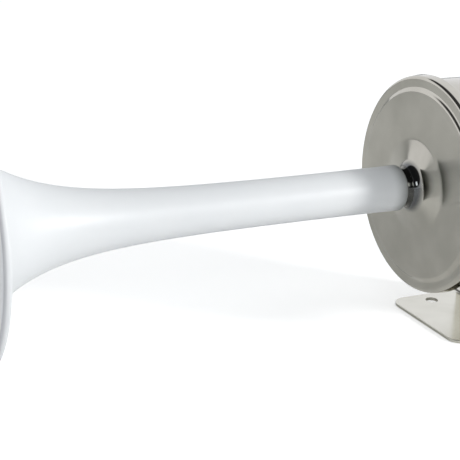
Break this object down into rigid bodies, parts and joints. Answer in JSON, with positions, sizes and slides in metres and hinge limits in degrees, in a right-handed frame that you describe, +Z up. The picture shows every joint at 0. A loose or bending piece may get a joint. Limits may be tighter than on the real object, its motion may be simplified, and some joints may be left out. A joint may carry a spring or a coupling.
{
  "type": "electric horn",
  "caption": "Electric trumpet horn: a white flared trumpet screwed to a polished round diaphragm housing that stands on a bent sheet-metal foot for screwing to a deck.",
  "frame": {"origin": "on the underside of the foot, midway between its two screw holes", "axes": "+Z up, out of the surface that the foot stands on; -Y towards the bell along the horn's axis; +X to the side of the terminals"},
  "size_m": [0.1114, 0.2781, 0.1257],
  "materials": {
    "white_plastic": "gloss",
    "polished_steel": "polished stainless sheet",
    "stem_metal": "machined",
    "gasket_rubber": "matte",
    "spring_steel": "cold-rolled",
    "black_case": "black stoved",
    "soft_iron": "zinc plated",
    "plated_steel": "zinc plated",
    "black_plastic": "moulded",
    "copper_wire": "enamelled",
    "brass": "bright",
    "spring_bronze": "rolled",
    "contact_metal": "ground",
    "laminate": "phenolic laminate",
    "condenser_can": "satin",
    "lead_insulation": "satin"
  },
  "bodies": {
    "horn_body": {"trumpet": "white_plastic", "throat_stem": "stem_metal", "front_cover": "polished_steel", "front_gasket": "gasket_rubber", "rear_gasket": "gasket_rubber", "motor_case": "black_case", "drum": "polished_steel", "magnet_core": "soft_iron", "yoke": "soft_iron", "bobbin": "black_plastic", "coil_winding": "copper_wire", "breaker_bracket": "plated_steel", "breaker_rivets": "brass", "clamp_plate": "plated_steel", "breaker_insulators": "laminate", "breaker_bushes": "laminate", "breaker_screws": "brass", "breaker_nuts": "brass", "adjuster_boss": "plated_steel", "adjuster_grommet": "gasket_rubber", "lock_nut": "plated_steel", "condenser": "condenser_can", "condenser_clip": "plated_steel", "clip_rivet": "brass", "terminal_block": "black_plastic", "terminal_blades": "brass", "coil_lead": "lead_insulation", "leaf_lead": "lead_insulation", "arm_lead": "lead_insulation", "back_spacer": "plated_steel", "drum_seal": "gasket_rubber", "foot_bracket": "polished_steel", "tail_washer": "plated_steel", "spring_washer": "plated_steel", "tail_nut": "plated_steel"},
    "armature": {"armature": "soft_iron", "centre_stud": "plated_steel", "diaphragm_washers": "plated_steel", "diaphragm_nut": "plated_steel", "diaphragm": "spring_steel"},
    "fixed_arm": {"fixed_arm": "spring_bronze", "fixed_contact": "contact_metal"},
    "moving_arm": {"contact_leaf": "spring_bronze", "moving_contact": "contact_metal"},
    "adjuster_tip": {"adjuster_tip": "laminate"},
    "adjusting_screw": {"adjusting_screw": "plated_steel"}
  },
  "joints": [
    {"name": "diaphragm_flex", "type": "slide", "parent": "horn_body", "child": "armature", "axis": [0, 1, 0], "range_m": [-0.0002, 0.0004], "stiffness_N_per_m": 2000, "deforming": ["diaphragm"]},
    {"name": "fixed_arm_bend", "type": "hinge", "parent": "horn_body", "child": "fixed_arm", "pos_m": [-0.018, -0.0206, 0.0985], "axis": [0, 0, -1], "range_deg": [-0.7, 0.7], "deforming": ["fixed_arm"]},
    {"name": "contact_break", "type": "hinge", "parent": "fixed_arm", "child": "moving_arm", "pos_m": [-0.018, -0.0181, 0.0985], "axis": [0, 0, 1], "range_deg": [-0.45, 0.9], "deforming": ["contact_leaf"]},
    {"name": "adjuster_advance", "type": "slide", "parent": "horn_body", "child": "adjuster_tip", "axis": [0, -1, 0], "range_m": [-0.0002, 0.0002]},
    {"name": "adjuster_turn", "type": "hinge", "parent": "adjuster_tip", "child": "adjusting_screw", "pos_m": [0, 0.0008, 0.0985], "axis": [0, -1, 0], "range_deg": [-90, 90]}
  ],
  "couplings": [
    {"joint": "contact_break", "follows": "diaphragm_flex", "rad_per_m": 34.783},
    {"joint": "adjuster_turn", "follows": "adjuster_advance", "rad_per_m": 7853.9},
    {"joint": "fixed_arm_bend", "follows": "adjuster_advance", "rad_per_m": 55.556}
  ]
}
